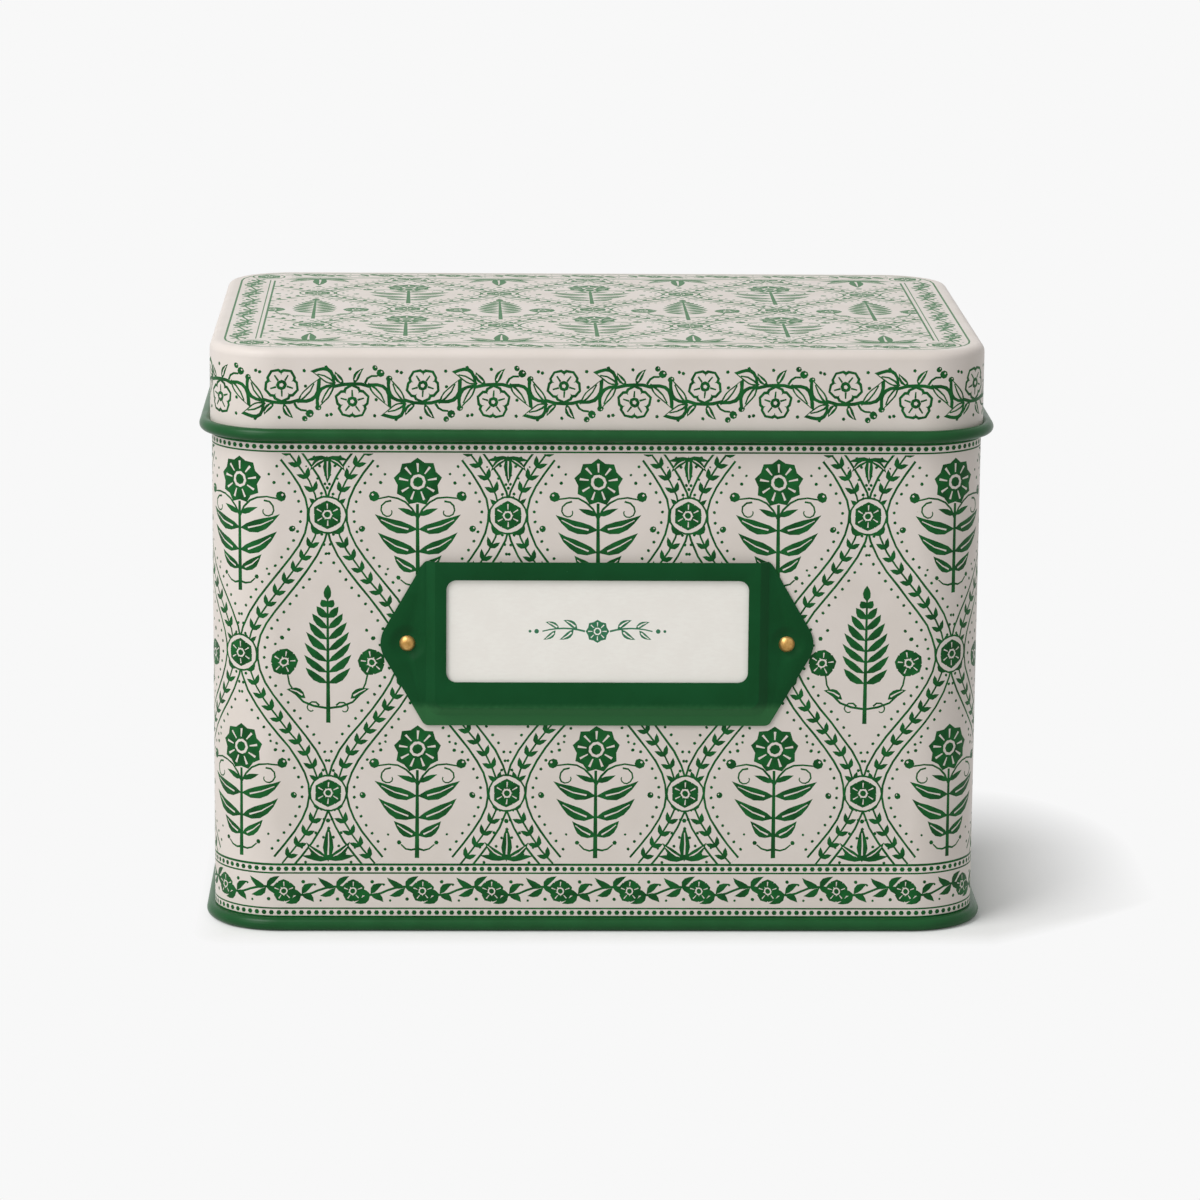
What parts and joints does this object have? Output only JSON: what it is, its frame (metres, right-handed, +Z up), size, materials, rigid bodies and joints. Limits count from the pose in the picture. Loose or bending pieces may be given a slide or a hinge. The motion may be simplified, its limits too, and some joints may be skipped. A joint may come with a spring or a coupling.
{
  "type": "recipe card box",
  "caption": "Printed tinplate box for recipe cards, with a hinged lid, rolled beads and a riveted label holder that holds a slide-in card.",
  "frame": {"origin": "centre of the box's footprint, on the surface it stands on", "axes": "+X to the right along the front, +Y to the back where the hinge is, +Z up; the label holder faces -Y"},
  "size_m": [0.1682, 0.1196, 0.1251],
  "materials": {
    "printed_tin": "satin cream and green print on tinplate",
    "green_tin": "satin green enamel",
    "hinge_steel": "drawn steel wire",
    "holder_enamel": "satin green enamel on a pressed plate",
    "rivet_brass": "satin brass",
    "label_paper": "matt off-white card"
  },
  "bodies": {
    "box": {"body_wall": "printed_tin", "base_panel": "green_tin", "hinge_strap_left": "green_tin", "hinge_strap_right": "green_tin", "label_holder": "holder_enamel", "rivet_left": "rivet_brass", "rivet_right": "rivet_brass"},
    "lid": {"lid": "printed_tin", "hinge_wire": "hinge_steel"},
    "label": {"label_card": "label_paper"}
  },
  "joints": [
    {"name": "lid_hinge", "type": "hinge", "parent": "box", "child": "lid", "pos_m": [0, 0.0585, 0.1072], "axis": [-1, 0, 0], "range_deg": [0, 180]},
    {"name": "label_slide", "type": "slide", "parent": "box", "child": "label", "axis": [0, 0, 1], "range_m": [0, 0.025]}
  ]
}
